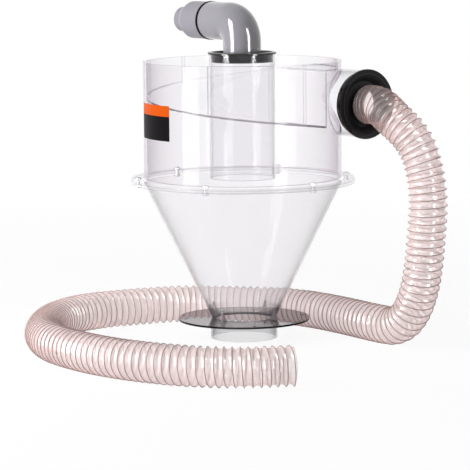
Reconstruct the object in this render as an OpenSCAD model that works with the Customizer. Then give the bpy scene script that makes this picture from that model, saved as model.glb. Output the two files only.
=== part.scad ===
// Benchtop cyclone dust separator in clear acrylic.
// Origin: centre of the dust collar's lower rim, on the floor. +Z is up.
// The inlet comes in along +Y at the drum's +X side, and the outlet leaves along +Y.

/* [Dust collar and bottom flange] */
// Outer diameter of the collar that drops into the dust bin's lid
collar_d = 102; // [96:1:120]
// Wall of the collar
collar_wall = 3; // [2:0.5:4]
// Height of the collar
collar_h = 28; // [20:1:60]
// Thickness of the bottom flange
bottom_flange_t = 3; // [2:0.5:6]
// Diameter of the circle of holes in the bottom flange
bottom_hole_circle_d = 180; // [160:1:240]
// Distance from that circle out to the bottom flange's rim
bottom_hole_edge = 10; // [6:1:20]
// Diameter of one hole in the bottom flange
bottom_hole_d = 5.5; // [4:0.5:8]
// Number of holes in the bottom flange, and of gussets between them
bottom_hole_count = 4; // [3:1:6]

/* [Cone] */
// Outer diameter of the cone at its lower end
cone_bottom_d = 97; // [90:1:98]
// Height of the cone between the two flanges
cone_h = 207.5; // [150:0.5:300]
// Wall of the cone, measured level
cone_wall = 3.5; // [2.5:0.5:5]
// Height of one gusset on the bottom flange
gusset_h = 19; // [10:1:30]
// Width of the gusset's foot on the flange
gusset_foot = 11.5; // [8:0.5:20]
// Thickness of one gusset
gusset_t = 3; // [2:0.5:4]

/* [Body flanges] */
// Outer diameter of the pair of flanges between cone and drum
body_flange_d = 340; // [300:2:380]
// Thickness of the cone's flange
cone_flange_t = 4; // [3:0.5:6]
// Thickness of the drum's flange
drum_flange_t = 4; // [3:0.5:6]
// Width of the body flanges outside the drum
body_flange_rim = 20; // [16:1:40]
// Distance from the body flanges' rim in to the circle of bolts
body_bolt_edge = 9.5; // [6:0.5:12]
// Diameter of one bolt hole in the body flanges
body_bolt_hole_d = 5.5; // [4:0.5:7]
// Number of bolts through the body flanges, and of rods above the ceiling
body_bolt_count = 6; // [4:1:8]
// Bearing of the first bolt hole on every flange
first_hole_angle = -28; // [-30:1:-20]

/* [Drum] */
// Wall of the drum
drum_wall = 5; // [3:0.5:6]
// Height of the drum above its flange
drum_h = 176.5; // [170:0.5:260]

/* [Spiral ceiling] */
// Thickness of the spiral ceiling
ceiling_t = 3; // [2:0.5:4]
// Drop of the spiral ceiling in one full turn
ceiling_pitch = 103; // [80:1:110]
// Gap left round the spiral ceiling for the glue
ceiling_gap = 0.2; // [0.1:0.05:0.3]
// Thickness of the upright plate that closes the step in the ceiling
closing_t = 3; // [2:0.5:4]
// Diameter of one clear rod that holds the ceiling down from the rim
rod_d = 5; // [4:0.5:7]

/* [Inlet and outlet tubes] */
// Outer diameter of the inlet tube and of the outlet tube
tube_d = 100; // [90:1:104]
// Wall of both tubes
tube_wall = 3; // [2:0.5:4]
// Depth of the inlet's centre line below the drum's rim
inlet_drop = 62; // [56:1:80]
// Distance from the drum's axis to the end of the inlet tube
inlet_reach = 170; // [150:1:220]
// Height of the outlet tube's end above the drum's rim
outlet_rise = 10; // [8:1:60]
// Depth of the outlet tube's lower end below the drum's floor level
outlet_dip = 1.5; // [0:0.5:40]

/* [Hose adapters] */
// Outer diameter of the adapter's brim
brim_d = 104; // [100:1:114]
// Thickness of the brim
brim_t = 3; // [2:0.5:5]
// Length of the adapter's skirt inside the tube
skirt_h = 12; // [8:1:25]
// Wall of the moulded adapter
adapter_wall = 2.5; // [1.5:0.5:4]
// Depth of the dished face below the brim
dish_depth = 9; // [5:0.5:14]
// Outer diameter of the hose spigot
spigot_d = 50; // [44:1:54]
// Length of the inlet's spigot beyond the brim
inlet_spigot = 18; // [12:1:70]
// Length of the outlet's spigot beyond the brim
outlet_spigot = 12; // [8:1:14]
// Play between a moulded plug and the tube that it sits in
plug_gap = 0.2; // [0.1:0.05:0.4]

/* [Elbow and reducer] */
// Outer diameter of the grey elbow
elbow_d = 58; // [56:0.5:59]
// Bore of the elbow between its sockets
elbow_bore_d = 44; // [38:1:46]
// Radius of the elbow's bend on its centre line
elbow_bend_r = 30; // [30:1:50]
// Straight length below the elbow's bend
elbow_leg = 24; // [20:1:50]
// Straight length beyond the elbow's bend
elbow_outlet_leg = 43; // [35:1:80]
// Width of the black seal ring
seal_w = 4.5; // [1.5:0.5:6]
// Height of the seal ring above the elbow's surface
seal_proud = 0.6; // [0:0.1:1.5]
// Outer diameter of the reducer's large end
reducer_d = 57; // [54:1:60]
// Length of the reducer's large end
reducer_large_len = 40; // [25:1:60]
// Length of the reducer's taper
reducer_taper_len = 16; // [10:1:30]
// Outer diameter of the reducer's small end
reducer_small_d = 38; // [32:1:44]
// Length of the reducer's small end
reducer_small_len = 13; // [8:1:40]
// Wall of the reducer
reducer_wall = 3; // [2:0.5:4]
// Length of the reducer's plug inside the elbow's socket
plug_len = 24; // [15:1:26]

/* [Hose] */
// Outer diameter of the hose over its ribs
hose_d = 58; // [56:0.5:60]
// Bore of the hose
hose_bore_d = 52.5; // [51:0.5:54]

/* [Hidden] */

through = 1;       // how far a cutting tool runs past the face that it cuts
round_fn = 96;     // facets of a drawn circle

edge = 0.8;        // chamfer on a moulded or turned rim
pipe_stop = 1;     // play between a pipe's end and the bottom of its socket

// Levels, from the floor up
bottom_flange_z = collar_h;
cone_z = bottom_flange_z + bottom_flange_t;
cone_flange_z = cone_z + cone_h;
drum_flange_z = cone_flange_z + cone_flange_t;
drum_z = drum_flange_z + drum_flange_t;
rim_z = drum_z + drum_h;

// Flanges, drum and cone
bottom_flange_d = bottom_hole_circle_d + 2 * bottom_hole_edge;
body_bolt_circle_d = body_flange_d - 2 * body_bolt_edge;
drum_r = body_flange_d / 2 - body_flange_rim;
drum_bore_r = drum_r - drum_wall;
cone_bottom_r = cone_bottom_d / 2;
cone_lean = (drum_r - cone_bottom_r) / cone_h;     // outward run of the cone per unit of height

// Tubes
tube_r = tube_d / 2;
tube_bore_r = tube_r - tube_wall;
inlet_x = drum_r - tube_r;                         // the inlet's outer side is flush with the drum
inlet_z = rim_z - inlet_drop;
inlet_tip_trim = 8;                                // keeps the saddle's thin tip off the drum
outlet_bottom_z = drum_z - outlet_dip;
outlet_top_z = rim_z + outlet_rise;

// Spiral ceiling: flat over the inlet, then one ramp round the outlet tube
ceiling_clear = 1;                                 // from the inlet's bore up to the ceiling
ceiling_start_z = inlet_z + tube_bore_r + ceiling_clear;
ceiling_inner_r = tube_r + ceiling_gap;
ceiling_outer_r = drum_bore_r - ceiling_gap / 2;
closing_x = tube_r;
start_angle = -acos((closing_x + closing_t) / ceiling_outer_r);
end_angle = 360 - acos(closing_x / ceiling_outer_r);
inner_end_angle = 360 - acos(closing_x / ceiling_inner_r);
swing_angle = 270;                                 // where the inner edge begins to run ahead
station_step = 6;                                  // bearing between two stations

// Adapters
adapter_play = 5;                                  // dish floor left free round the elbow
dish_edge = 4;                                     // inward run of the dish below the brim
dish_fillet = 2;                                   // slope on the underside of the dish
adapter_floor_r = elbow_d / 2 + adapter_play;
skirt_r = tube_bore_r - plug_gap;
spigot_r = spigot_d / 2;
outlet_brim_z = outlet_top_z + brim_t;
inlet_brim_y = -inlet_reach - brim_t;

// Elbow and reducer
elbow_r = elbow_d / 2;
elbow_bottom_z = outlet_brim_z - dish_depth;
elbow_bend_z = elbow_bottom_z + elbow_leg;
elbow_axis_z = elbow_bend_z + elbow_bend_r;
elbow_end_y = elbow_bend_r + elbow_outlet_leg;
socket_r = spigot_r + plug_gap;
reducer_y = elbow_end_y + seal_w;
reducer_step = 1.5;                                // ledge between the taper and the small end

// Hose: centre line from the inlet's spigot down to the floor and round the separator
hose_r = hose_d / 2;
hose_sides = 12;
hose_route = [
    [100, -174, 361], [100, -191, 361], [100, -206, 358], [99, -229, 345], [104, -249, 330],
    [109, -264, 314], [113, -276, 292], [116, -284, 262], [117, -288, 233], [117, -288, 204],
    [117, -284, 167], [118, -278, 130], [120, -267, 93], [122, -249, 60], [123, -226, 38],
    [123, -198, 29], [124, -160, 29], [129, -112, 29], [133, -66, 29], [134, -23, 29],
    [130, 20, 29], [114, 68, 29], [87, 110, 29], [56, 148, 29], [21, 175, 29], [-23, 191, 29],
    [-74, 203, 29], [-126, 209, 29], [-180, 199, 29], [-232, 170, 29], [-280, 124, 29],
    [-320, 69, 29], [-347, 8, 29], [-357, -55, 29], [-357, -118, 29], [-348, -178, 29],
    [-331, -232, 29], [-302, -288, 29], [-258, -334, 29], [-200, -366, 29],
];

// Height of the ceiling's underside at a bearing, from the end of the flat part
function ceiling_z(bearing) = ceiling_start_z - max(bearing, 0) / 360 * ceiling_pitch;

function on_circle(r, bearing) = [r * cos(bearing), r * sin(bearing)];

// Bearing of a bolt, and of the gusset that stands halfway between two holes
function bolt_angle(i) = first_hole_angle + i * 360 / body_bolt_count;
function gusset_angle(i) = first_hole_angle + (i + 0.5) * 360 / bottom_hole_count;

// Outer radius of the cone at a height above its lower end
function cone_r(height) = cone_bottom_r + height * cone_lean;

module ring(outer_r, bore_r, height) {
    difference() {
        cylinder(r = outer_r, h = height, $fn = round_fn);
        translate([0, 0, -through])
            cylinder(r = bore_r, h = height + 2 * through, $fn = round_fn);
    }
}

module hole_circle(circle_d, hole_d, count, height) {
    for (i = [0 : count - 1])
        rotate([0, 0, first_hole_angle + i * 360 / count])
            translate([circle_d / 2, 0, -through])
                cylinder(d = hole_d, h = height + 2 * through, $fn = 32);
}

module bottom_collar() {
    color([0.86, 0.86, 0.88, 0.5])
        ring(collar_d / 2, collar_d / 2 - collar_wall, collar_h);
}

module bottom_flange() {
    color([0.35, 0.33, 0.36, 0.7])
        translate([0, 0, bottom_flange_z])
            difference() {
                ring(bottom_flange_d / 2, cone_bottom_r - cone_wall, bottom_flange_t);
                hole_circle(bottom_hole_circle_d, bottom_hole_d, bottom_hole_count, bottom_flange_t);
            }
}

module cone_shell() {
    color([0.86, 0.86, 0.88, 0.5])
        translate([0, 0, cone_z])
            rotate_extrude($fn = round_fn)
                polygon([
                    [cone_bottom_r - cone_wall, 0], [cone_bottom_r, 0],
                    [drum_r, cone_h], [drum_r - cone_wall, cone_h],
                ]);
}

module gusset(i) {
    color([0.80, 0.80, 0.83, 0.6])
        translate([0, 0, cone_z])
            rotate([0, 0, gusset_angle(i)])
                rotate([90, 0, 0])
                    translate([0, 0, -gusset_t / 2])
                        linear_extrude(gusset_t)
                            polygon([
                                [cone_r(0), 0], [cone_r(0) + gusset_foot, 0],
                                [cone_r(gusset_h), gusset_h],
                            ]);
}

module cone_flange() {
    color([0.82, 0.82, 0.85, 0.5])
        translate([0, 0, cone_flange_z])
            difference() {
                ring(body_flange_d / 2, drum_r - cone_wall, cone_flange_t);
                hole_circle(body_bolt_circle_d, body_bolt_hole_d, body_bolt_count, cone_flange_t);
            }
}

module drum_flange() {
    color([0.82, 0.82, 0.85, 0.5])
        translate([0, 0, drum_flange_z])
            difference() {
                ring(body_flange_d / 2, drum_bore_r, drum_flange_t);
                hole_circle(body_bolt_circle_d, body_bolt_hole_d, body_bolt_count, drum_flange_t);
            }
}

// A bar along +Y on the inlet's axis, from one distance to another
module inlet_bar(r, from_y, to_y) {
    translate([inlet_x, from_y, inlet_z])
        rotate([-90, 0, 0])
            cylinder(r = r, h = to_y - from_y, $fn = round_fn);
}

module drum_shell() {
    color([0.86, 0.86, 0.88, 0.5])
        difference() {
            translate([0, 0, drum_z])
                ring(drum_r, drum_bore_r, drum_h);
            inlet_bar(tube_bore_r, -drum_r - through, 0);
        }
}

module inlet_tube() {
    color([0.86, 0.86, 0.88, 0.5])
        difference() {
            inlet_bar(tube_r, -inlet_reach, -inlet_tip_trim);
            inlet_bar(tube_bore_r, -inlet_reach - through, 0);
            translate([0, 0, drum_z])
                cylinder(r = drum_r, h = drum_h, $fn = round_fn);
        }
}

module outlet_tube() {
    color([0.86, 0.86, 0.88, 0.5])
        translate([0, 0, outlet_bottom_z])
            ring(tube_r, tube_bore_r, outlet_top_z - outlet_bottom_z);
}

// Stations of the ramp: inner point, outer point and height of the underside. The inner points
// follow the tube, and past the last quarter they run ahead to meet the closing plate's far side.
swing_steps = ceil((inner_end_angle - swing_angle) / station_step);
ramp_stations = concat(
    [
        for (bearing = [0 : station_step : swing_angle])
            [on_circle(ceiling_inner_r, bearing), on_circle(ceiling_outer_r, bearing),
             ceiling_z(bearing)]
    ],
    [
        for (i = [1 : swing_steps])
            let (share = i / swing_steps,
                 inner = swing_angle + share * (inner_end_angle - swing_angle),
                 outer = swing_angle + share * (end_angle - swing_angle))
                [on_circle(ceiling_inner_r, inner), on_circle(ceiling_outer_r, outer),
                 ceiling_z(outer)]
    ]
);

// The part over the inlet is flat, and its straight side follows the closing plate
module ceiling_flat() {
    translate([0, 0, ceiling_start_z])
        intersection() {
            translate([closing_x + closing_t, -ceiling_outer_r, 0])
                cube([ceiling_outer_r, ceiling_outer_r, ceiling_t]);
            cylinder(r = ceiling_outer_r, h = ceiling_t, $fn = round_fn);
        }
}

module ceiling_ramp() {
    last = len(ramp_stations) - 1;
    points = [
        for (s = ramp_stations)
            each [
                [s[0][0], s[0][1], s[2]], [s[1][0], s[1][1], s[2]],
                [s[1][0], s[1][1], s[2] + ceiling_t], [s[0][0], s[0][1], s[2] + ceiling_t],
            ]
    ];
    sides = [
        for (i = [0 : last - 1], k = [0 : 3])
            let (a = 4 * i + k, b = 4 * i + (k + 1) % 4)
                each [[a, b + 4, a + 4], [a, b, b + 4]]
    ];
    polyhedron(
        points = points,
        faces = concat([[3, 2, 1, 0]], sides, [[for (k = [0 : 3]) 4 * last + k]])
    );
}

module spiral_ceiling() {
    color([0.72, 0.70, 0.74, 0.6]) {
        ceiling_flat();
        ceiling_ramp();
    }
}

module closing_plate() {
    low_z = ceiling_z(end_angle);
    color([0.80, 0.80, 0.84, 0.6])
        translate([closing_x, -ceiling_outer_r, low_z])
            intersection() {
                cube([closing_t, ceiling_outer_r, ceiling_start_z + ceiling_t - low_z]);
                translate([-closing_x, ceiling_outer_r, 0])
                    cylinder(r = ceiling_outer_r, h = drum_h, $fn = round_fn);
            }
}

module ceiling_rod(i) {
    bearing = (bolt_angle(i) + 360) % 360;
    uphill = bearing - asin(rod_d / 2 / (drum_bore_r - rod_d));
    seat = bearing > end_angle ? ceiling_start_z : ceiling_z(uphill);
    foot_z = seat + ceiling_t + ceiling_gap;
    color([0.80, 0.80, 0.83, 0.6])
        rotate([0, 0, bolt_angle(i)])
            translate([drum_bore_r - rod_d / 2 - ceiling_gap, 0, foot_z])
                cylinder(d = rod_d, h = rim_z - foot_z, $fn = 24);
}

// Moulded adapter with its brim's outer face at z = 0 and its spigot upward
module adapter(spigot_len) {
    lip_r = skirt_r - adapter_wall;
    under = dish_depth + adapter_wall;
    color([0.08, 0.08, 0.09])
        rotate_extrude($fn = round_fn)
            polygon([
                [lip_r, 0], [brim_d / 2 - edge, 0], [brim_d / 2, -edge], [brim_d / 2, -brim_t],
                [skirt_r, -brim_t], [skirt_r, -brim_t - skirt_h],
                [lip_r, -brim_t - skirt_h], [lip_r, -under + dish_fillet],
                [lip_r - dish_fillet, -under], [spigot_r - adapter_wall, -under],
                [spigot_r - adapter_wall, spigot_len - edge],
                [spigot_r - adapter_wall + edge, spigot_len], [spigot_r - edge, spigot_len],
                [spigot_r, spigot_len - edge], [spigot_r, -dish_depth],
                [adapter_floor_r, -dish_depth], [lip_r - dish_edge, -adapter_wall],
            ]);
}

module outlet_adapter() {
    translate([0, 0, outlet_brim_z])
        adapter(outlet_spigot);
}

module inlet_adapter() {
    translate([inlet_x, inlet_brim_y, inlet_z])
        rotate([90, 0, 0])
            adapter(inlet_spigot);
}

// Solid run of the elbow at one radius, with its two legs cut to length
module elbow_run(r, leg, outlet_leg) {
    translate([0, 0, elbow_bend_z - leg])
        cylinder(r = r, h = leg, $fn = round_fn);
    translate([0, elbow_bend_r, elbow_bend_z])
        rotate([0, -90, 0])
            rotate([0, 0, -90])
                rotate_extrude(angle = 90, $fn = round_fn)
                    translate([elbow_bend_r, 0])
                        circle(r = r, $fn = round_fn);
    translate([0, elbow_bend_r, elbow_axis_z])
        rotate([-90, 0, 0])
            cylinder(r = r, h = outlet_leg, $fn = round_fn);
}

module outlet_elbow() {
    color([0.56, 0.56, 0.60])
        difference() {
            elbow_run(elbow_r, elbow_leg, elbow_outlet_leg);
            elbow_run(elbow_bore_d / 2, elbow_leg + through, elbow_outlet_leg + through);
            translate([0, 0, elbow_bottom_z - through])
                cylinder(r = socket_r, h = dish_depth + outlet_spigot + through + pipe_stop, $fn = round_fn);
            translate([0, elbow_end_y - plug_len - pipe_stop, elbow_axis_z])
                rotate([-90, 0, 0])
                    cylinder(r = socket_r, h = plug_len + pipe_stop + through, $fn = round_fn);
        }
}

module elbow_seal() {
    color([0.05, 0.05, 0.05])
        translate([0, elbow_end_y, elbow_axis_z])
            rotate([-90, 0, 0])
                ring(elbow_r + seal_proud, spigot_r + plug_gap, seal_w);
}

module outlet_reducer() {
    taper_z = reducer_large_len;
    small_z = taper_z + reducer_taper_len;
    end_z = small_z + reducer_small_len;
    large_r = reducer_d / 2;
    small_r = reducer_small_d / 2;
    color([0.66, 0.65, 0.70])
        translate([0, reducer_y, elbow_axis_z])
            rotate([-90, 0, 0])
                rotate_extrude($fn = round_fn)
                    polygon([
                        [spigot_r - reducer_wall, -seal_w - plug_len],
                        [spigot_r, -seal_w - plug_len], [spigot_r, 0], [large_r, 0],
                        [large_r, taper_z], [small_r + reducer_step, small_z], [small_r, small_z],
                        [small_r, end_z], [small_r - reducer_wall, end_z],
                        [small_r - reducer_wall, small_z],
                        [spigot_r - reducer_wall, taper_z],
                    ]);
}

// Hose: a round tube swept along its route, with an open bore
function along(i) =
    let (last = len(hose_route) - 1,
         run = hose_route[min(i + 1, last)] - hose_route[max(i - 1, 0)])
        run / norm(run);
function cross_up(d) =
    let (side = cross(d, abs(d[2]) > 0.9 ? [0, 1, 0] : [0, 0, 1])) side / norm(side);
function hose_side(i) = i == 0 ? cross_up(along(0))
    : let (before = hose_side(i - 1), d = along(i), flat = before - (before * d) * d)
        flat / norm(flat);
function hose_ring(i, r) =
    let (d = along(i), u = hose_side(i), v = cross(u, d))
        [for (k = [0 : hose_sides - 1])
            hose_route[i] + r * (cos(k * 360 / hose_sides) * u + sin(k * 360 / hose_sides) * v)];

module hose() {
    rings = len(hose_route);
    n = hose_sides;
    inner = rings * n;
    outer_points = [for (i = [0 : rings - 1]) each hose_ring(i, hose_r)];
    inner_points = [for (i = [0 : rings - 1]) each hose_ring(i, hose_bore_d / 2)];
    walls = [
        for (i = [0 : rings - 2], k = [0 : n - 1])
            let (a = i * n + k, b = i * n + (k + 1) % n)
                each [
                    [a, a + n, b + n], [a, b + n, b],
                    [inner + a, inner + b + n, inner + a + n], [inner + a, inner + b, inner + b + n],
                ]
    ];
    ends = [
        for (k = [0 : n - 1])
            let (a = k, b = (k + 1) % n, end = (rings - 1) * n)
                each [
                    [a, b, inner + b], [a, inner + b, inner + a],
                    [end + a, inner + end + b, end + b], [end + a, inner + end + a, inner + end + b],
                ]
    ];
    color([0.88, 0.78, 0.76, 0.7])
        polyhedron(points = concat(outer_points, inner_points), faces = concat(walls, ends));
}

bottom_collar();
bottom_flange();
cone_shell();
cone_flange();
drum_flange();
drum_shell();
spiral_ceiling();
closing_plate();
outlet_tube();
inlet_tube();
outlet_adapter();
inlet_adapter();
outlet_elbow();
elbow_seal();
outlet_reducer();
gusset(0);  // gusset_1
gusset(1);  // gusset_2
gusset(2);  // gusset_3
gusset(3);  // gusset_4
ceiling_rod(0);  // ceiling_rod_1
ceiling_rod(1);  // ceiling_rod_2
ceiling_rod(2);  // ceiling_rod_3
ceiling_rod(3);  // ceiling_rod_4
ceiling_rod(4);  // ceiling_rod_5
ceiling_rod(5);  // ceiling_rod_6
hose();
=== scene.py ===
"""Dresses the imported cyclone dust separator: clear and smoked acrylic, moulded fittings, hose."""

import math
from bisect import bisect_right

import bmesh
import bpy
from mathutils import Matrix, Vector


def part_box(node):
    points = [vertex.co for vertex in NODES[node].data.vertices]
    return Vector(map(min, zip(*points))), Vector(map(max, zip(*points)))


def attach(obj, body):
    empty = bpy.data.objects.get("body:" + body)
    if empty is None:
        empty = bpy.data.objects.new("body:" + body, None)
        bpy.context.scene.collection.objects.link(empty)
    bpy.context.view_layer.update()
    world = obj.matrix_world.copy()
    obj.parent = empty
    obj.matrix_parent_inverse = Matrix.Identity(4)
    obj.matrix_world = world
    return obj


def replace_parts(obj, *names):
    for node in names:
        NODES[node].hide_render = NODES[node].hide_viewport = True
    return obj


bl_info = {
    "name": "Cyclone Dust Separator",
    "version": (1, 0, 0),
    "blender": (4, 5, 0),
    "location": "3D View > Sidebar > Cyclone",
    "description": "Dresses a benchtop cyclone dust separator piece by piece",
    "category": "Object",
}

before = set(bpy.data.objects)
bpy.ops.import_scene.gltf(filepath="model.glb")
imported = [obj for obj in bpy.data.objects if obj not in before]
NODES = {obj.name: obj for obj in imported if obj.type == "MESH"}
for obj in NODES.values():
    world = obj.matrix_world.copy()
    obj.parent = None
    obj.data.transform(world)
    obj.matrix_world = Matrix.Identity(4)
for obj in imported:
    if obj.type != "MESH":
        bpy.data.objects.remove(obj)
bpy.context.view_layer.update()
MM = 0.001
LEVEL = (1.0, 1.0, 0.0)  # multiplied by a vector, it leaves what lies level

# Sizes that the frame's boxes don't give, in metres
TUBE_WALL = 0.003
DRUM_WALL = 0.005
CONE_WALL = 0.0035
CONE_FOOT_RADIUS = 0.0485
GUSSET_HALF_THICKNESS = 0.0015
DISH_RADIUS = 0.0465  # the matt dish in an adapter's face
DRUM_JOINT_RADIUS = 0.155  # a flange's edge inside this is glued and hardly shows
TUBE_JOINT_RADIUS = 0.055  # and so is an edge of the ceiling inside this
PIPE_INNER_END = -0.008  # Y of the inlet pipe's end before the drum is cut from it
OPENING_OUTER_END = -0.2  # Y from which the inlet's opening is cut into the drum
LOWER_ARRIS = 0.0016  # height of the painted shade line along a flange's lower edge
WASHER_RADIUS = 0.0052
WASHER_THICKNESS = 0.0008
BOLTS = 6
FIRST_BOLT_BEARING = math.radians(-28.0)
LABEL_DARK_SHARE = 0.695
LABEL_LIFT = 0.0001
LABEL_THICKNESS = 0.0002

# The stage
LIGHT_BOUNCES = 32  # many clear walls lie behind each other
FLOOR_FADES_FROM = 0.7  # metres from the axis
FLOOR_FADE_PER_METRE = 0.8

# Centre line of the hose, in millimetres, from the inlet's spigot to the open end
HOSE_ROUTE = [
    (100, -174, 361), (100, -191, 361), (100, -206, 358), (99, -229, 345), (104, -249, 330),
    (109, -264, 314), (113, -276, 292), (116, -284, 262), (117, -288, 233), (117, -288, 204),
    (117, -284, 167), (118, -278, 130), (120, -267, 93), (122, -249, 60), (123, -226, 38),
    (123, -198, 29), (124, -160, 29), (129, -112, 29), (133, -66, 29), (134, -23, 29),
    (130, 20, 29), (114, 68, 29), (87, 110, 29), (56, 148, 29), (21, 175, 29), (-23, 191, 29),
    (-74, 203, 29), (-126, 209, 29), (-180, 199, 29), (-232, 170, 29), (-280, 124, 29),
    (-320, 69, 29), (-347, 8, 29), (-357, -55, 29), (-357, -118, 29), (-348, -178, 29),
    (-331, -232, 29), (-302, -288, 29), (-258, -334, 29), (-200, -366, 29),
]


# ---------------------------------------------------------------- sizes and colours


class CycloneSizes(bpy.types.PropertyGroup):
    """Sizes of the pieces that dress the separator."""

    hose_diameter: bpy.props.FloatProperty(
        name="Hose diameter", description="Outer diameter over the ribs",
        default=0.058, min=0.03, max=0.08, unit="LENGTH")
    hose_pitch: bpy.props.FloatProperty(
        name="Hose pitch", description="Distance from one turn of the wire to the next",
        default=0.0114, min=0.006, max=0.03, unit="LENGTH")
    rib_depth: bpy.props.FloatProperty(
        name="Rib depth", description="How far the film sinks between two turns of the wire",
        default=0.0030, min=0.001, max=0.006, unit="LENGTH")
    wire_diameter: bpy.props.FloatProperty(
        name="Wire diameter", description="Diameter of the coated spring wire in the hose",
        default=0.0014, min=0.0008, max=0.004, unit="LENGTH")
    bolt_diameter: bpy.props.FloatProperty(
        name="Bolt diameter", description="Diameter of a body flange bolt's shank",
        default=0.005, min=0.003, max=0.006, unit="LENGTH")
    bolt_circle: bpy.props.FloatProperty(
        name="Bolt circle", description="Diameter of the circle of body flange bolts",
        default=0.321, min=0.30, max=0.34, unit="LENGTH")
    label_width: bpy.props.FloatProperty(
        name="Label width", description="Angle that the plain label takes up on the drum",
        default=math.radians(35.0), min=0.1, max=1.5, subtype="ANGLE")
    label_bearing: bpy.props.FloatProperty(
        name="Label bearing", description="Bearing of the label's middle on the drum",
        default=math.radians(168.5), min=0.0, max=6.3, subtype="ANGLE")
    label_bottom: bpy.props.FloatProperty(
        name="Label bottom", description="Height of the label's lower edge",
        default=0.310, min=0.25, max=0.4, unit="LENGTH")
    label_height: bpy.props.FloatProperty(
        name="Label height", description="Height of the label",
        default=0.0525, min=0.02, max=0.1, unit="LENGTH")


def colour_property(name, description, value):
    return bpy.props.FloatVectorProperty(
        name=name, description=description, subtype="COLOR", size=3,
        min=0.0, max=1.0, default=value)


class CycloneColours(bpy.types.PropertyGroup):
    """Colours of the separator's finishes, and of the painted shade along its clear edges, in
    linear light.
    """

    acrylic: colour_property("Acrylic", "Clear acrylic seen face on", (0.962, 0.956, 0.966))
    # painted shade: the colour that clear walls are darkened to along their limbs and ends
    acrylic_limb_shade: colour_property("Acrylic edge", "Clear acrylic seen along it",
                                  (0.10, 0.085, 0.10))
    sheet: colour_property("Acrylic sheet", "Body of the clear flat sheets", (0.84, 0.81, 0.85))
    # painted shade: the darker body shown along the clear sheets' edges
    sheet_edge_shade: colour_property("Sheet edge", "Sawn edge of the clear flat sheets",
                                (0.52, 0.49, 0.53))
    # painted shade along the edges of the ceiling and its end plate
    ceiling_edge_shade: colour_property("Ceiling edge", "Sawn edge of the ceiling and its end plate",
                                  (0.14, 0.12, 0.14))
    smoked: colour_property("Smoked acrylic", "Smoked acrylic seen face on",
                            (0.225, 0.19, 0.20))
    smoked_edge: colour_property("Smoked edge", "Rim of the smoked acrylic",
                                 (0.05, 0.04, 0.05))
    gusset: colour_property("Gusset", "Faces of the clear gussets", (0.62, 0.59, 0.62))
    # painted shade on the gussets' narrow sides
    gusset_side_shade: colour_property("Gusset edge", "Narrow sides of the clear gussets",
                                 (0.05, 0.035, 0.05))
    moulding: colour_property("Moulding", "Black moulded plastic", (0.004, 0.003, 0.004))
    elbow: colour_property("Elbow", "Grey elbow", (0.250, 0.242, 0.270))
    reducer: colour_property("Reducer", "Light grey reducer", (0.265, 0.254, 0.287))
    rubber: colour_property("Rubber", "Black rubber ring", (0.004, 0.003, 0.004))
    film: colour_property("Hose film", "Tinted film of the hose", (0.79, 0.605, 0.59))
    wire: colour_property("Hose wire", "Copper-coloured wire of the hose", (0.43, 0.30, 0.28))
    zinc: colour_property("Zinc", "Plated bolts and nuts", (0.60, 0.59, 0.62))
    label_top: colour_property("Label top", "Upper part of the label", (0.49, 0.068, 0.002))
    label_body: colour_property("Label body", "Lower part of the label", (0.003, 0.002, 0.003))


# ---------------------------------------------------------------- materials


class Value:
    """One socket of a material, so that sums on it read as Python."""

    def __init__(self, paint, socket):
        self.paint = paint
        self.socket = socket

    def maths(self, operation, other=0.0):
        return self.paint.node("ShaderNodeMath", {"operation": operation},
                               {0: self, 1: other})

    def reflected(self, operation, other):
        return self.paint.node("ShaderNodeMath", {"operation": operation},
                               {0: other, 1: self})

    def __add__(self, other):
        return self.maths("ADD", other)

    def __radd__(self, other):
        return self.reflected("ADD", other)

    def __sub__(self, other):
        return self.maths("SUBTRACT", other)

    def __rsub__(self, other):
        return self.reflected("SUBTRACT", other)

    def __mul__(self, other):
        return self.maths("MULTIPLY", other)

    def __rmul__(self, other):
        return self.reflected("MULTIPLY", other)

    def __pow__(self, other):
        return self.maths("POWER", other)

    def clamped(self):
        return self.maths("MAXIMUM", 0.0).maths("MINIMUM", 1.0)


class Nodes:
    """A node tree under construction."""

    def __init__(self, tree):
        self.tree = tree

    def put(self, socket, value):
        if isinstance(value, Value):
            self.tree.links.new(value.socket, socket)
        elif socket.type == "RGBA" and len(value) == 3:
            socket.default_value = (*value, 1.0)
        else:
            socket.default_value = value

    def node(self, kind, settings=None, inputs=None, output=0):
        made = self.tree.nodes.new(kind)
        for name, value in (settings or {}).items():
            setattr(made, name, value)
        for name, value in (inputs or {}).items():
            self.put(made.inputs[name], value)
        return Value(self, made.outputs[output])

    def seen_directly(self):
        """1 for light that reaches the camera straight, mirrored or through glass, else 0."""
        camera, mirrored, through = (
            self.node("ShaderNodeLightPath", output=ray)
            for ray in ("Is Camera Ray", "Is Glossy Ray", "Is Transmission Ray"))
        return camera.maths("MAXIMUM", mirrored).maths("MAXIMUM", through)


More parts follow.
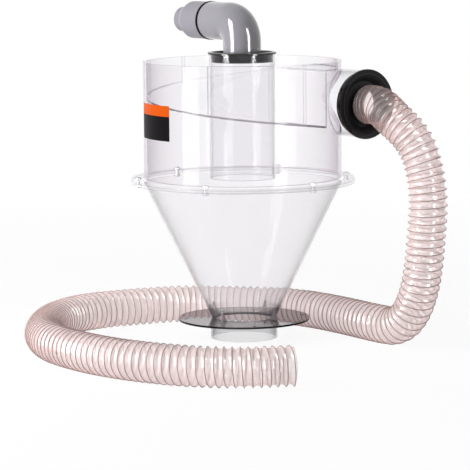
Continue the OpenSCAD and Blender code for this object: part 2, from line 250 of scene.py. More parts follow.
class Paint(Nodes):
    """A material under construction, with its principled shader at hand."""

    def __init__(self, name):
        self.material = bpy.data.materials.new(name)
        self.material.use_nodes = True
        super().__init__(self.material.node_tree)
        self.shader = self.tree.nodes["Principled BSDF"]

    def set(self, **values):
        for name, value in values.items():
            self.put(self.shader.inputs[name.replace("_", " ")], value)
        return self

    def mix(self, factor, first, second):
        """A colour between two, whose sockets on a Mix node are 6 and 7."""
        return self.node("ShaderNodeMix", {"data_type": "RGBA"},
                         {0: factor, 6: first, 7: second}, 2)

    def mix_shaders(self, factor, first, second):
        """Makes the surface a mixture of two shaders."""
        mixture = self.node("ShaderNodeMixShader", None, {0: factor, 1: first, 2: second})
        self.put(self.tree.nodes["Material Output"].inputs["Surface"], mixture)

    def place(self):
        return self.node("ShaderNodeTexCoord", output="Object")

    def part(self, vector, axis):
        return self.node("ShaderNodeSeparateXYZ", None, {0: vector}, axis)

    def vector(self, operation, first, second, output=0):
        return self.node("ShaderNodeVectorMath", {"operation": operation},
                         {0: first, 1: second}, output)

    def height(self):
        return self.part(self.place(), 2)

    def reach(self, vector, across):
        """Length of a vector, counted only in the directions that across leaves."""
        return self.node("ShaderNodeVectorMath", {"operation": "LENGTH"},
                         {0: self.vector("MULTIPLY", vector, across)}, "Value")

    def grain(self, scale, detail=2.0, stretch=(1.0, 1.0, 1.0)):
        where = self.node("ShaderNodeMapping", None,
                          {"Vector": self.place(), "Scale": stretch})
        return self.node("ShaderNodeTexNoise", None,
                         {"Vector": where, "Scale": scale, "Detail": detail}, "Fac")

    def bump(self, height, depth, strength=1.0):
        return self.node("ShaderNodeBump", None,
                         {"Height": height, "Distance": depth, "Strength": strength},
                         "Normal")

    def edge_mask(self, across):
        """1 on the faces that stand square to the sheet's own direction, 0 on the flat ones."""
        normal = self.node("ShaderNodeNewGeometry", output="True Normal")
        level = self.part(normal, across).maths("ABSOLUTE")
        return (1.5 - 2.0 * level).clamped()

    def facing(self):
        return self.node("ShaderNodeLayerWeight", None, {"Blend": 0.5}, "Facing")


def shades():
    return bpy.context.scene.cyclone_colours


def acrylic(name, face, edge, gloss=1.15, limb_shade_power=5.0, painted_smoke_below=None, painted_end_shade=0.6,
            ends=2, veil=0.0):
    """Clear tube or shell: its polish is a coat over a wall that hardly bends the light.

    It is nearly colourless face on. Its colour is darkened along its limbs and on its ends,
    which stand across the axis that ends gives: painted shade for the darker surroundings
    that a real wall bends and mirrors there. Veil is the share of the light that it scatters.
    Below a height its limbs are darkened further: a painted reflection of the smoked sheet
    that it stands on."""
    paint = Paint(name)
    facing = paint.facing()
    wipe = paint.grain(7.0, 3.0, (1.0, 1.0, 0.25))
    # painted shade: darker towards the limbs and on the ends, for surroundings that the wall bends
    # and mirrors
    shade = (facing ** limb_shade_power + painted_end_shade * (1.0 - paint.edge_mask(ends))).clamped()
    if painted_smoke_below:
        # painted reflection of the smoked sheet in the limbs below that height
        tinted = ((painted_smoke_below - paint.height()) * 250.0).clamped()
        shade = (shade + tinted * facing ** 1.5).clamped()
    paint.set(Base_Color=paint.mix(shade, face, edge),
              Roughness=0.012 + 0.02 * wipe, IOR=1.02, Transmission_Weight=1.0 - veil,
              Coat_Weight=1.0, Coat_IOR=gloss, Coat_Roughness=0.03)
    return paint.material


def sheet(name, edge, across=2, flat=0.05, rim=0.5, glued_within=0.0, fades=None, arris=None):
    """Flat clear sheet: a faint veil over its faces, and a darker, denser body along its edge,
    which is painted shade for the darker surroundings that a real edge bends and mirrors.

    Across is the axis that its faces stand square to. An edge that is glued within a radius
    of the axis hardly shows. Between the two heights in fades this painted edge shade is dark
    at both ends and faint between them. Below the height in arris the edge shows as a thin
    darker line, also painted shade."""
    paint = Paint(name)
    rim_mask = paint.edge_mask(across)
    # painted shade: the edge line is dark near the top and over the lower part, and faint between
    if fades:
        lowest, highest = fades
        depth = (highest - paint.height()) * (1.0 / (highest - lowest))
        ends = ((depth - 0.3) * 5.0).clamped() + ((0.05 - depth) * 20.0).clamped()
        rim_mask = rim_mask * (0.12 + 0.85 * ends)
    if glued_within:
        radius = paint.reach(paint.place(), LEVEL)
        rim_mask = rim_mask * (0.35 + (radius - glued_within) * 40.0).clamped()
    wipe = paint.grain(9.0, 3.0)
    tone, body = edge, rim
    if arris:
        # painted shade: a thin darker line along the lower edge
        line = ((arris - paint.height()) * 1200.0).clamped() * rim_mask
        tone = paint.mix(line, edge, tuple(0.35 * c for c in edge))
        body = rim + 0.2 * line
    # painted shade: the rim is darker and denser than the faces
    paint.set(Base_Color=paint.mix(rim_mask, shades().sheet, tone),
              Alpha=(flat + 0.03 * wipe + (body - flat) * rim_mask).clamped(),
              Roughness=0.05 + 0.05 * wipe, Specular_IOR_Level=0.12)
    return paint.material


def gusset_acrylic(bearing):
    """Small upright plates on crossed lines through the axis: clear, with painted shade on their
    narrow sides for the darker surroundings that real plates bend and mirror there.
    """
    paint = Paint("clear_gusset")
    turned_to = paint.node("ShaderNodeMapping", None,
                           {"Vector": paint.place(), "Rotation": (0.0, 0.0, -bearing)})
    along, across = (paint.part(turned_to, axis).maths("ABSOLUTE") for axis in (0, 1))
    off = along.maths("MINIMUM", across) * (1.0 / GUSSET_HALF_THICKNESS)
    rim_mask = paint.edge_mask(2)
    # painted shade on the narrow sides
    arris = ((off - 0.15) * 4.0).clamped() * off.maths("LESS_THAN", 0.999)
    paint.set(Base_Color=paint.mix(arris, shades().gusset, shades().gusset_side_shade),
              Alpha=0.24 + 0.1 * rim_mask + 0.75 * arris, Roughness=0.06 + 0.04 * rim_mask)
    return paint.material


def smoked_acrylic():
    paint = Paint("smoked_acrylic")
    rim_mask = paint.edge_mask(2)
    wipe = paint.grain(9.0, 3.0)
    dark = tuple(0.92 * c for c in shades().smoked)
    face = paint.mix(wipe, dark, shades().smoked)
    paint.set(Base_Color=paint.mix(rim_mask, face, shades().smoked_edge),
              Roughness=(0.05 * wipe - 0.01).clamped(), IOR=1.22, Transmission_Weight=1.0)
    return paint.material


def moulding(name, centre, across, gloss):
    """Black moulded plastic: polished outside, matt inside the dish round its axis."""
    paint = Paint(name)
    grain = paint.grain(420.0, 2.0)
    wipe = paint.grain(16.0, 3.0)
    radius = paint.reach(paint.vector("SUBTRACT", paint.place(), centre), across)
    inside = ((DISH_RADIUS - radius) * 900.0).clamped()
    wiped = (0.006, 0.005, 0.006)
    paint.set(Base_Color=paint.mix(wipe, shades().moulding, wiped),
              Roughness=0.08 + 0.08 * wipe + 0.5 * inside,
              Normal=paint.bump(grain, 0.00003, 0.4), Specular_IOR_Level=gloss)
    return paint.material


def grey_pipe(name, colour, polish, gloss=0.0):
    """Grey pipe plastic with faint flow marks from the mould."""
    paint = Paint(name)
    flow = paint.grain(14.0, 4.0, (1.0, 1.0, 0.35))
    grain = paint.grain(600.0, 2.0)
    darker = tuple(0.9 * c for c in colour)
    paint.set(Base_Color=paint.mix(flow, darker, colour), Roughness=polish + 0.05 * flow,
              Normal=paint.bump(grain, 0.00003, 0.5), Specular_IOR_Level=0.2,
              Coat_Weight=gloss, Coat_Roughness=0.05)
    return paint.material


def rubber():
    paint = Paint("seal_rubber")
    grain = paint.grain(900.0, 3.0)
    dusty = (0.008, 0.007, 0.007)
    paint.set(Base_Color=paint.mix(grain, shades().rubber, dusty),
              Roughness=0.5 + 0.2 * grain, Normal=paint.bump(grain, 0.00005, 0.7),
              Specular_IOR_Level=0.03)
    return paint.material


def hose_film(mouth):
    """Thin tinted film under a clear gloss, pinker along its folds.

    Where it is drawn tight at the inlet's mouth it is clear, and further on it is milky."""
    paint = Paint("hose_film")
    facing = paint.facing()
    crease = paint.grain(160.0, 3.0)
    rough = 0.25 + 0.15 * crease
    relief = paint.bump(crease, 0.00006, 0.2)
    tint = tuple(shades().film)
    pale = tuple(0.5 + 0.5 * c for c in tint)
    deep = tuple(c ** 2.5 for c in tint)
    tone = paint.mix(crease, pale, tuple(0.97 * c for c in pale))
    paint.set(Base_Color=paint.mix(facing ** 1.5, tone, tint), Roughness=rough, Normal=relief,
              IOR=1.01, Transmission_Weight=0.66, Coat_Weight=1.0, Coat_Roughness=0.03,
              Coat_IOR=1.6)
    clear = paint.node("ShaderNodeBsdfPrincipled", None, {
        "Base Color": paint.mix((facing ** 2.0).clamped(), tint, deep), "Roughness": rough,
        "Normal": relief, "IOR": 1.01, "Transmission Weight": 0.85, "Coat Weight": 1.0,
        "Coat Roughness": 0.04, "Coat IOR": 1.4})
    away = paint.vector("DISTANCE", paint.place(), mouth, "Value")
    milky = ((away - 0.03) * 12.0).clamped() * 0.85 + 0.15
    paint.mix_shaders(milky, clear, Value(paint, paint.shader.outputs["BSDF"]))
    return paint.material


def hose_wire():
    paint = Paint("hose_wire")
    tone = paint.grain(60.0, 2.0)
    darker = tuple(0.8 * c for c in shades().wire)
    paint.set(Base_Color=paint.mix(tone, darker, shades().wire), Roughness=0.28 + 0.1 * tone)
    return paint.material


def zinc():
    paint = Paint("zinc_plate")
    tone = paint.grain(260.0, 3.0)
    bright = tuple(min(1.0, 1.15 * c) for c in shades().zinc)
    painted_dark_limb = tuple(0.3 * c for c in shades().zinc)
    plate = paint.mix(tone, shades().zinc, bright)
    # painted reflection: the plate darkens towards its limbs
    paint.set(Base_Color=paint.mix((paint.facing() ** 2.0).clamped(), plate, painted_dark_limb),
              Metallic=1.0, Roughness=0.3 + 0.15 * tone)
    return paint.material


def vinyl(name, colour):
    paint = Paint(name)
    tone = paint.grain(120.0, 3.0)
    lighter = tuple(min(1.0, 1.08 * c + 0.002) for c in colour)
    paint.set(Base_Color=paint.mix(tone, colour, lighter), Roughness=0.32 + 0.12 * tone,
              Normal=paint.bump(tone, 0.00004, 0.4), Specular_IOR_Level=0.03)
    return paint.material


# ---------------------------------------------------------------- pieces


def finished(name, bm, material, smooth=40.0):
    """Turns a bmesh into a piece that rides on the separator."""
    mesh = bpy.data.meshes.new(name)
    bm.to_mesh(mesh)
    bm.free()
    piece = bpy.data.objects.new(name, mesh)
    bpy.context.scene.collection.objects.link(piece)
    mesh.materials.append(material)
    mesh.shade_smooth()
    mesh.set_sharp_from_angle(angle=math.radians(smooth))
    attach(piece, "root")
    return piece


def turned(profile, steps=96):
    """A bmesh spun about Z from a closed profile of (radius, height) pairs in metres."""
    bm = bmesh.new()
    corners = [bm.verts.new((r, 0.0, z)) for r, z in profile]
    edges = [bm.edges.new((corners[i], corners[(i + 1) % len(corners)]))
             for i in range(len(corners))]
    bmesh.ops.spin(bm, geom=corners + edges, cent=(0, 0, 0), axis=(0, 0, 1),
                   angle=2 * math.pi, steps=steps, use_merge=True, use_duplicate=False)
    bmesh.ops.remove_doubles(bm, verts=bm.verts, dist=1e-6)
    bmesh.ops.recalc_face_normals(bm, faces=bm.faces)
    return bm


def tube_between(outer, bore, bottom, top, edge=0.0004, steps=192):
    """A turned tube with its rims eased."""
    return turned([(bore, bottom + edge), (bore + edge, bottom), (outer - edge, bottom),
                   (outer, bottom + edge), (outer, top - edge), (outer - edge, top),
                   (bore + edge, top), (bore, top - edge)], steps)


def rod_between(radius, bottom, top, steps):
    """A turned solid rod."""
    return turned([(0.0, bottom), (radius, bottom), (radius, top), (0.0, top)], steps)


def laid_along_y(bm, axis_x, axis_z):
    """Turns an upright bmesh so that its length runs along Y on a given axis."""
    bmesh.ops.rotate(bm, verts=bm.verts, cent=(0, 0, 0),
                     matrix=Matrix.Rotation(math.radians(-90.0), 3, "X"))
    bmesh.ops.translate(bm, verts=bm.verts, vec=(axis_x, 0.0, axis_z))
    return bm


def cut(body, cutter):
    """A bmesh body without the space that a second bmesh fills."""
    held = []
    for source in (body, cutter):
        mesh = bpy.data.meshes.new("held")
        source.to_mesh(mesh)
        source.free()
        held.append(bpy.data.objects.new("held", mesh))
        bpy.context.scene.collection.objects.link(held[-1])
    taking = held[0].modifiers.new("cut", "BOOLEAN")
    taking.object = held[1]
    taking.solver = "EXACT"
    left = bmesh.new()
    left.from_object(held[0], bpy.context.evaluated_depsgraph_get())
    for piece in held:
        mesh = piece.data
        bpy.data.objects.remove(piece)
        bpy.data.meshes.remove(mesh)
    return left


def at(bearing, radius, height):
    return Vector((radius * math.cos(bearing), radius * math.sin(bearing), height))


def dress(node, material):
    """Gives a CAD node a finished material."""
    slots = NODES[node].data.materials
    for i in range(len(slots)):
        slots[i] = material


# ---------------------------------------------------------------- hose


def smooth_route(points, per_span=14):
    """A dense line through the route's points, by Catmull-Rom."""
    ends = [2 * points[0] - points[1], *points, 2 * points[-1] - points[-2]]
    line = []
    for a, b, c, d in zip(ends, ends[1:], ends[2:], ends[3:]):
        for i in range(per_span):
            t = i / per_span
            line.append(0.5 * (2 * b + (c - a) * t + (2 * a - 5 * b + 4 * c - d) * t * t
                               + (3 * b - a - 3 * c + d) * t ** 3))
    line.append(points[-1])
    resting = min(p.z for p in points)
    for p in line:
        p.z = max(p.z, resting)
    return line


class Route:
    """The hose's centre line, read by distance, with a frame that doesn't twist."""

    def __init__(self, points):
        self.line = smooth_route([Vector(p) * MM for p in points])
        self.reach = [0.0]
        for a, b in zip(self.line, self.line[1:]):
            self.reach.append(self.reach[-1] + (b - a).length)
        self.length = self.reach[-1]
        self.ahead = [(self.line[min(i + 1, len(self.line) - 1)]
                       - self.line[max(i - 1, 0)]).normalized()
                      for i in range(len(self.line))]
        side = self.ahead[0].cross(Vector((0, 0, 1))).normalized()
        self.side = [side]
        for t in self.ahead[1:]:
            side = (side - side.dot(t) * t).normalized()
            self.side.append(side)

    def at(self, distance):
        distance = min(max(distance, 0.0), self.length)
        low = min(bisect_right(self.reach, distance), len(self.reach) - 1) - 1
        high = low + 1
        share = (distance - self.reach[low]) / (self.reach[high] - self.reach[low])
        centre = self.line[low].lerp(self.line[high], share)
        ahead = self.ahead[low].lerp(self.ahead[high], share).normalized()
        side = self.side[low].lerp(self.side[high], share)
        side = (side - side.dot(ahead) * ahead).normalized()
        return centre, side, ahead.cross(side)

    def on_surface(self, distance, angle, radius):
        centre, side, up = self.at(distance)
        return centre + radius * (math.cos(angle) * side + math.sin(angle) * up)


ROUTE = Route(HOSE_ROUTE)

# Rows of the film's grid from one crest to the next, and its columns round the hose
PER_RIB = 6
AROUND = 36

# Length by which the bunched turns by the inlet fall short, and the turns over which that fades
BUNCHED = 0.045
BUNCHED_TURNS = 10.0

FOLD_SHAPE = 0.85  # below 1 the film sinks steeply beside each crest


def distance_at(turn, sizes):
    """Distance along the hose of a turn of its wire: the turns are bunched at the inlet."""
    return sizes.hose_pitch * turn - BUNCHED * (1.0 - math.exp(-turn / BUNCHED_TURNS))


def turns_over(length, sizes):
    """Number of turns of the wire in a length that ends well past the bunched ones."""
    return (length + BUNCHED) / sizes.hose_pitch


def crest_radius(sizes):
    """Radius of the helix that the wire's middle follows, and of the film's crests."""
    return sizes.hose_diameter / 2 - sizes.wire_diameter / 2


def hose_film_mesh(sizes):
    """Grid whose lines follow the wire's helix, so that each crest is sharp."""
    ribs = turns_over(ROUTE.length, sizes)
    rows = math.ceil((ribs + 1) * PER_RIB)
    crest = crest_radius(sizes)
    bm = bmesh.new()
    bmesh.ops.create_grid(bm, x_segments=rows, y_segments=AROUND, size=0.5)
    for v in bm.verts:
        row = round((v.co.x + 0.5) * rows) - PER_RIB
        column = round((v.co.y + 0.5) * AROUND)
        along = row / PER_RIB + column / AROUND
        distance = distance_at(min(max(along, 0.0), ribs), sizes)
        fold = abs(math.sin(math.pi * (row % PER_RIB) / PER_RIB))
        v.co = ROUTE.on_surface(distance, 2 * math.pi * column / AROUND,
                                crest - sizes.rib_depth * fold ** FOLD_SHAPE)
    bmesh.ops.remove_doubles(bm, verts=bm.verts, dist=2e-5)
    bmesh.ops.dissolve_degenerate(bm, edges=bm.edges, dist=1e-6)
    bmesh.ops.recalc_face_normals(bm, faces=bm.faces)
    return bm


def helix_tube(point_at, turns, per_turn, radius, sides):
    """A bmesh tube along a helix, made by a grid that is rolled up round the helix's line."""
    count = round(turns * per_turn)
    bm = bmesh.new()
    bmesh.ops.create_grid(bm, x_segments=count, y_segments=sides, size=0.5)
    for v in bm.verts:
        step = round((v.co.x + 0.5) * count)
        angle = 2 * math.pi * round((v.co.y + 0.5) * sides) / sides
        centre, outward, ahead = point_at(step / per_turn)
        v.co = centre + radius * (math.cos(angle) * outward
                                  + math.sin(angle) * ahead.cross(outward))
    bmesh.ops.remove_doubles(bm, verts=bm.verts, dist=1e-6)
    bmesh.ops.holes_fill(bm, edges=[e for e in bm.edges if e.is_boundary])
    bmesh.ops.recalc_face_normals(bm, faces=bm.faces)
    return bm


class CYCLONE_OT_hose(bpy.types.Operator):
    """Makes the hose: ribbed film over a wire helix, with its far end cut open"""

    bl_idname = "cyclone.hose"
    bl_label = "Hose"

    def execute(self, context):
        sizes = context.scene.cyclone_sizes
        mouth = tuple(c * MM for c in HOSE_ROUTE[0])
        film = finished("hose_film", hose_film_mesh(sizes), hose_film(mouth),
                        smooth=80.0)
        turns = turns_over(ROUTE.length, sizes)
        radius = crest_radius(sizes)
        onward, turn_onward = 1e-4, 0.04

        def wire_point(turn):
            angle = 2 * math.pi * turn
            distance = distance_at(turn, sizes)
            here = ROUTE.on_surface(distance, angle, radius)
            ahead = ROUTE.on_surface(distance + onward, angle + turn_onward, radius) - here
            outward = (here - ROUTE.at(distance)[0]).normalized()
            ahead = (ahead - ahead.dot(outward) * outward).normalized()
            return here, outward, ahead

        coil = helix_tube(wire_point, turns, per_turn=24, radius=sizes.wire_diameter / 2,
                          sides=5)
        wire = finished("hose_wire", coil, hose_wire(), smooth=80.0)
        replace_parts(film, "hose")
        [tuple(p) for p in ROUTE.line[::4]] + [tuple(ROUTE.line[-1])]
        return {"FINISHED"}


# ---------------------------------------------------------------- body


class CYCLONE_OT_shells(bpy.types.Operator):
    """Makes the cone, drum, tubes and collar in clear acrylic"""

    bl_idname = "cyclone.shells"
    bl_label = "Clear shells and tubes"

    def execute(self, context):
        # the shells, tubes and collar get painted shade along their limbs and ends
        face, edge = tuple(shades().acrylic), tuple(shades().acrylic_limb_shade)
        shell = acrylic("clear_acrylic_shell", face, tuple(5.0 * c for c in edge),
                        limb_shade_power=2.2, painted_end_shade=1.0)
        # the cone's limbs below the gussets' tops get a painted reflection of the smoked sheet
        hopper = acrylic("clear_acrylic_cone", tuple(0.96 * c for c in face), edge,
                         painted_smoke_below=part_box("gusset_1")[1][2], painted_end_shade=0.0, veil=0.07)
        tube = acrylic("clear_acrylic_tube", tuple(0.98 * c for c in face), edge, gloss=1.17)
        short = acrylic("clear_acrylic_collar", tuple(0.82 * c for c in face), edge,
                        limb_shade_power=2.5, painted_end_shade=0.15)
        pipe = acrylic("clear_acrylic_pipe", face, edge, gloss=1.12, painted_end_shade=0.2, ends=1)

        low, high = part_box("cone_shell")
        bm = turned([(CONE_FOOT_RADIUS - CONE_WALL, low[2]), (CONE_FOOT_RADIUS, low[2]),
                     (high[0], high[2]), (high[0] - CONE_WALL, high[2])], 240)
        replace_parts(finished("cone", bm, hopper), "cone_shell")

        low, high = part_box("drum_shell")
        inlet_low, inlet_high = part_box("inlet_tube")
        axis_x = (inlet_low[0] + inlet_high[0]) / 2
        axis_z = (inlet_low[2] + inlet_high[2]) / 2
        outer = (inlet_high[2] - inlet_low[2]) / 2
        bore = outer - TUBE_WALL
        bm = tube_between(high[0], high[0] - DRUM_WALL, low[2], high[2], steps=240)
        opening = laid_along_y(rod_between(bore, OPENING_OUTER_END, 0.0, 192), axis_x,
                               axis_z)
        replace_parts(finished("drum", cut(bm, opening), shell), "drum_shell")

        bm = laid_along_y(tube_between(outer, bore, inlet_low[1], PIPE_INNER_END), axis_x,
                          axis_z)
        drum = rod_between(high[0], low[2], high[2], 240)
        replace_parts(finished("inlet_pipe", cut(bm, drum), pipe), "inlet_tube")

        for node, name, finish in (("outlet_tube", "outlet_pipe", tube),
                                   ("bottom_collar", "collar", short)):
            low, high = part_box(node)
            bm = tube_between(high[0], high[0] - TUBE_WALL, low[2], high[2])
            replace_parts(finished(name, bm, finish), node)
        return {"FINISHED"}


class CYCLONE_OT_sheets(bpy.types.Operator):
    """Gives the flanges, ceiling, end plate, rods and gussets their acrylic finish"""

    bl_idname = "cyclone.sheets"
    bl_label = "Clear sheets"

    def execute(self, context):
        flange_edge = tuple(shades().sheet_edge_shade)
        for node in ("cone_flange", "drum_flange"):
            low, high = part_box(node)
            dress(node, sheet("clear_" + node, flange_edge, flat=0.04, rim=0.2,
                              glued_within=DRUM_JOINT_RADIUS, arris=low[2] + LOWER_ARRIS))
        low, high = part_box("spiral_ceiling")
        ceiling_edge_shade = tuple(shades().ceiling_edge_shade)
        # the ceiling's edge gets painted shade that varies with height
        dress("spiral_ceiling", sheet("clear_ceiling", ceiling_edge_shade, flat=0.02, rim=0.85,
                                      glued_within=TUBE_JOINT_RADIUS,
                                      fades=(low[2], high[2])))
        dress("closing_plate", sheet("clear_end_plate", ceiling_edge_shade, across=0, flat=0.02,
                                     rim=0.75, glued_within=TUBE_JOINT_RADIUS + 0.001))
        low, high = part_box("gusset_1")
        gusset = gusset_acrylic(math.atan2(low[1] + high[1], low[0] + high[0]))
        rod = acrylic("clear_rod", tuple(shades().acrylic), tuple(shades().acrylic_limb_shade),
                      gloss=1.05, limb_shade_power=2.0, painted_end_shade=0.3)
        for node in NODES:
            if node.startswith("gusset"):
                dress(node, gusset)
            elif node.startswith("ceiling_rod"):
                dress(node, rod)
        dress("bottom_flange", smoked_acrylic())
        return {"FINISHED"}


class CYCLONE_OT_fittings(bpy.types.Operator):
    """Finishes the adapters, elbow, seal ring and reducer"""

    bl_idname = "cyclone.fittings"
    bl_label = "Moulded fittings"

    def execute(self, context):
        dress("outlet_adapter", moulding("black_outlet_moulding", (0.0, 0.0, 0.0), LEVEL,
                                         gloss=0.5))
        low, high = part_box("inlet_tube")
        axis = ((low[0] + high[0]) / 2, 0.0, (low[2] + high[2]) / 2)
        dress("inlet_adapter", moulding("black_inlet_moulding", axis, (1.0, 0.0, 1.0),
                                        gloss=0.2))
        dress("outlet_elbow", grey_pipe("elbow_grey", tuple(shades().elbow), polish=0.09,
                                        gloss=1.0))
        dress("outlet_reducer", grey_pipe("reducer_grey", tuple(shades().reducer),
                                          polish=0.28))
        dress("elbow_seal", rubber())
        return {"FINISHED"}


def hexagon(width, height, bottom, bevel):
    """A bmesh hexagon across its flats, with its rims bevelled."""
    bm = bmesh.new()
    radius = width / math.sqrt(3)
    bmesh.ops.create_cone(bm, cap_ends=True, segments=6, radius1=radius, radius2=radius,
                          depth=height,
                          matrix=Matrix.Translation((0, 0, bottom + height / 2)))
    rims = [e for e in bm.edges if abs(e.verts[0].co.z - e.verts[1].co.z) < 1e-6]
    bmesh.ops.bevel(bm, geom=rims, offset=bevel, segments=2, profile=0.5,
                    affect="EDGES", material=-1)
    return bm


def joined(parts):
    """One bmesh from several."""
    whole = bmesh.new()
    for part in parts:
        mesh = bpy.data.meshes.new("part")
        part.to_mesh(mesh)
        part.free()
        whole.from_mesh(mesh)
        bpy.data.meshes.remove(mesh)
    return whole


def bolt_mesh(sizes, top, bottom):
    """Pan head and washer above the flanges, washer, nut and shank's end below."""
    r = sizes.bolt_diameter / 2
    seat, underside = top + WASHER_THICKNESS, bottom - WASHER_THICKNESS
    head = turned([(0.0, top + 0.0034), (0.0022, top + 0.0033), (0.0036, top + 0.0028),
                   (0.0044, top + 0.0018), (0.0045, seat), (0.0, seat)], 32)
    washer = turned([(r, top), (WASHER_RADIUS, top), (WASHER_RADIUS, seat), (r, seat)], 32)
    under = turned([(r, underside), (WASHER_RADIUS, underside), (WASHER_RADIUS, bottom),
                    (r, bottom)], 32)
    nut = hexagon(0.008, 0.0026, bottom - 0.0034, 0.0004)
    shank = turned([(0.0, bottom - 0.0042), (r - 0.0004, bottom - 0.0042),
                    (r, bottom - 0.0038), (r, top + 0.0009), (0.0, top + 0.0009)], 24)
    return joined([head, washer, under, nut, shank])


class CYCLONE_OT_bolts(bpy.types.Operator):
    """Makes the bolts, washers and nuts that clamp the body flanges"""

    bl_idname = "cyclone.bolts"
    bl_label = "Body flange bolts"

    def execute(self, context):
        sizes = context.scene.cyclone_sizes
        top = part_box("drum_flange")[1][2]
        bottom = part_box("cone_flange")[0][2]
        metal = zinc()
        for i in range(BOLTS):
            bearing = FIRST_BOLT_BEARING + 2 * math.pi * i / BOLTS
            tightened_to = 0.7 * i + 0.3
            bm = bolt_mesh(sizes, top, bottom)
            bmesh.ops.rotate(bm, verts=bm.verts, cent=(0, 0, 0),
                             matrix=Matrix.Rotation(tightened_to, 3, "Z"))
            bmesh.ops.translate(bm, verts=bm.verts,
                                vec=at(bearing, sizes.bolt_circle / 2, 0.0))
            finished(f"bolt_{i + 1}", bm, metal, smooth=35.0)
        return {"FINISHED"}


def label_patch(sizes, bottom, height):
    """A thin sheet bent round the drum."""
    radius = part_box("drum_shell")[1][0] + LABEL_LIFT
    bm = bmesh.new()
    bmesh.ops.create_grid(bm, x_segments=28, y_segments=6, size=0.5)
    for v in bm.verts:
        bearing = sizes.label_bearing + v.co.x * sizes.label_width
        v.co = at(bearing, radius, bottom + (v.co.y + 0.5) * height)
    bmesh.ops.recalc_face_normals(bm, faces=bm.faces)
    if bm.faces[:][0].normal.dot(at(sizes.label_bearing, 1.0, 0.0)) < 0:
        bmesh.ops.reverse_faces(bm, faces=bm.faces)
    bmesh.ops.solidify(bm, geom=bm.faces[:], thickness=-LABEL_THICKNESS)
    return bm


class CYCLONE_OT_label(bpy.types.Operator):
    """Makes the plain two-tone label on the drum"""

    bl_idname = "cyclone.label"
    bl_label = "Label"

    def execute(self, context):
        sizes = context.scene.cyclone_sizes
        bottom, dark = sizes.label_bottom, sizes.label_height * LABEL_DARK_SHARE
        finished("label_body", label_patch(sizes, bottom, dark),
                 vinyl("label_dark", tuple(shades().label_body)))
        finished("label_top", label_patch(sizes, bottom + dark, sizes.label_height - dark),
                 vinyl("label_orange", tuple(shades().label_top)))
        return {"FINISHED"}


# ---------------------------------------------------------------- stage


class CYCLONE_OT_camera(bpy.types.Operator):
    """Places the camera"""

    bl_idname = "cyclone.camera"
    bl_label = "Camera"

    def execute(self, context):
        data = bpy.data.cameras.new("camera")
        data.lens = 197.77
        data.sensor_width = 36.0
        data.clip_end = 100.0
        camera = bpy.data.objects.new("camera", data)
        context.scene.collection.objects.link(camera)
        place = Vector((-2.4013, -3.0733, 0.6596))
        aim = Vector((-0.0101, 0.0079, 0.1573))
        roll = -0.0081
        turn = (aim - place).to_track_quat("-Z", "Y").to_matrix()
        turn = turn @ Matrix.Rotation(roll, 3, "Z")
        camera.matrix_world = Matrix.Translation(place) @ turn.to_4x4()
        context.scene.camera = camera
        return {"FINISHED"}


def softbox(name, azimuth, distance, bottom, height, width, watts, lights=True, shows=True):
    """An upright softbox that faces the separator's axis.

    It lights matt surfaces if lights is true, and polished ones mirror it if shows is."""
    data = bpy.data.lights.new(name, "AREA")
    data.shape = "RECTANGLE"
    data.size, data.size_y = width, height
    data.energy = watts
    lamp = bpy.data.objects.new(name, data)
    bpy.context.scene.collection.objects.link(lamp)
    place = at(math.radians(azimuth - 90.0), distance, bottom + height / 2)
    toward = Vector((0.0, 0.0, place.z)) - place
    lamp.matrix_world = (Matrix.Translation(place)
                         @ toward.to_track_quat("-Z", "Y").to_matrix().to_4x4())
    lamp.visible_camera = False
    lamp.visible_transmission = shows
    lamp.visible_diffuse = lights
    lamp.visible_glossy = shows


def make_world(scene, level):
    """White where it is seen, and dimmer where it lights the object."""
    world = bpy.data.worlds.new("studio")
    scene.world = world
    world.use_nodes = True
    sky = Nodes(world.node_tree)
    strength = sky.node("ShaderNodeMapRange", None,
                        {"Value": sky.seen_directly(), "To Min": level, "To Max": 1.0})
    back = sky.tree.nodes["Background"]
    sky.put(back.inputs["Strength"], strength)
    sky.put(back.inputs["Color"], (1.0, 1.0, 1.0))


def make_floor(scene):
    """Pale floor that keeps the shadows and turns white towards the horizon."""
    paint = Paint("floor")
    paint.set(Base_Color=(0.94, 0.94, 0.945), Roughness=0.9, Specular_IOR_Level=0.0)
    away = paint.node("ShaderNodeVectorMath", {"operation": "LENGTH"},
                      {0: paint.place()}, "Value")
    far = ((away - FLOOR_FADES_FROM) * FLOOR_FADE_PER_METRE).clamped()
    glow = paint.node("ShaderNodeEmission", None, {"Color": (1.0, 1.0, 1.0)})
    paint.mix_shaders(paint.seen_directly() * (0.92 + 0.08 * far),
                      Value(paint, paint.shader.outputs["BSDF"]), glow)
    bm = bmesh.new()
    bmesh.ops.create_grid(bm, x_segments=2, y_segments=2, size=30.0)
    mesh = bpy.data.meshes.new("floor")
    bm.to_mesh(mesh)
    bm.free()
    mesh.materials.append(paint.material)
    floor = bpy.data.objects.new("floor", mesh)
    scene.collection.objects.link(floor)


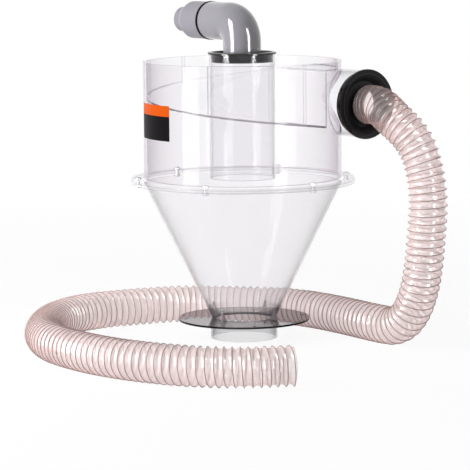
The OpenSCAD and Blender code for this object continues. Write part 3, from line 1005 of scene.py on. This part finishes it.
class CYCLONE_OT_stage(bpy.types.Operator):
    """Makes the floor, the lamps and the pale surroundings"""

    bl_idname = "cyclone.stage"
    bl_label = "Stage"

    def execute(self, context):
        scene = context.scene
        scene.view_settings.view_transform = "Standard"
        for limit in ("max_bounces", "transmission_bounces", "transparent_max_bounces"):
            setattr(scene.cycles, limit, LIGHT_BOUNCES)
        make_world(scene, level=0.32)
        make_floor(scene)
        softbox("softbox_left", azimuth=-98.0, distance=1.5, bottom=0.02, height=1.7,
                width=0.55, watts=50.0, lights=False)
        softbox("softbox_right", azimuth=5.0, distance=1.7, bottom=0.02, height=1.7,
                width=0.42, watts=36.0, lights=False)
        softbox("key", azimuth=-105.0, distance=1.6, bottom=0.3, height=1.4,
                width=1.2, watts=40.0, shows=False)
        data = bpy.data.lights.new("overhead", "AREA")
        data.size = 1.8
        data.energy = 3.0
        lamp = bpy.data.objects.new("overhead", data)
        lamp.location = (0.0, 0.0, 2.2)
        lamp.visible_camera = False
        lamp.visible_transmission = False
        scene.collection.objects.link(lamp)
        return {"FINISHED"}


# ---------------------------------------------------------------- add-on

STEPS = ("camera", "hose", "shells", "sheets", "fittings", "bolts", "label", "stage")


class CYCLONE_PT_panel(bpy.types.Panel):
    """Lists the pieces, sizes and colours"""

    bl_idname = "CYCLONE_PT_panel"
    bl_label = "Cyclone Dust Separator"
    bl_space_type = "VIEW_3D"
    bl_region_type = "UI"
    bl_category = "Cyclone"

    def draw(self, context):
        for step in STEPS:
            self.layout.operator("cyclone." + step)
        for group in (context.scene.cyclone_sizes, context.scene.cyclone_colours):
            column = self.layout.column(align=True)
            for name in group.__annotations__:
                column.prop(group, name)


CLASSES = (CycloneSizes, CycloneColours, CYCLONE_OT_camera, CYCLONE_OT_hose,
           CYCLONE_OT_shells, CYCLONE_OT_sheets, CYCLONE_OT_fittings,
           CYCLONE_OT_bolts, CYCLONE_OT_label, CYCLONE_OT_stage, CYCLONE_PT_panel)


def register():
    for made in CLASSES:
        bpy.utils.register_class(made)
    bpy.types.Scene.cyclone_sizes = bpy.props.PointerProperty(type=CycloneSizes)
    bpy.types.Scene.cyclone_colours = bpy.props.PointerProperty(type=CycloneColours)


def unregister():
    del bpy.types.Scene.cyclone_colours
    del bpy.types.Scene.cyclone_sizes
    for made in reversed(CLASSES):
        bpy.utils.unregister_class(made)


def main():
    register()
    for step in STEPS:
        getattr(bpy.ops.cyclone, step)()


if __name__ == "__main__":
    main()
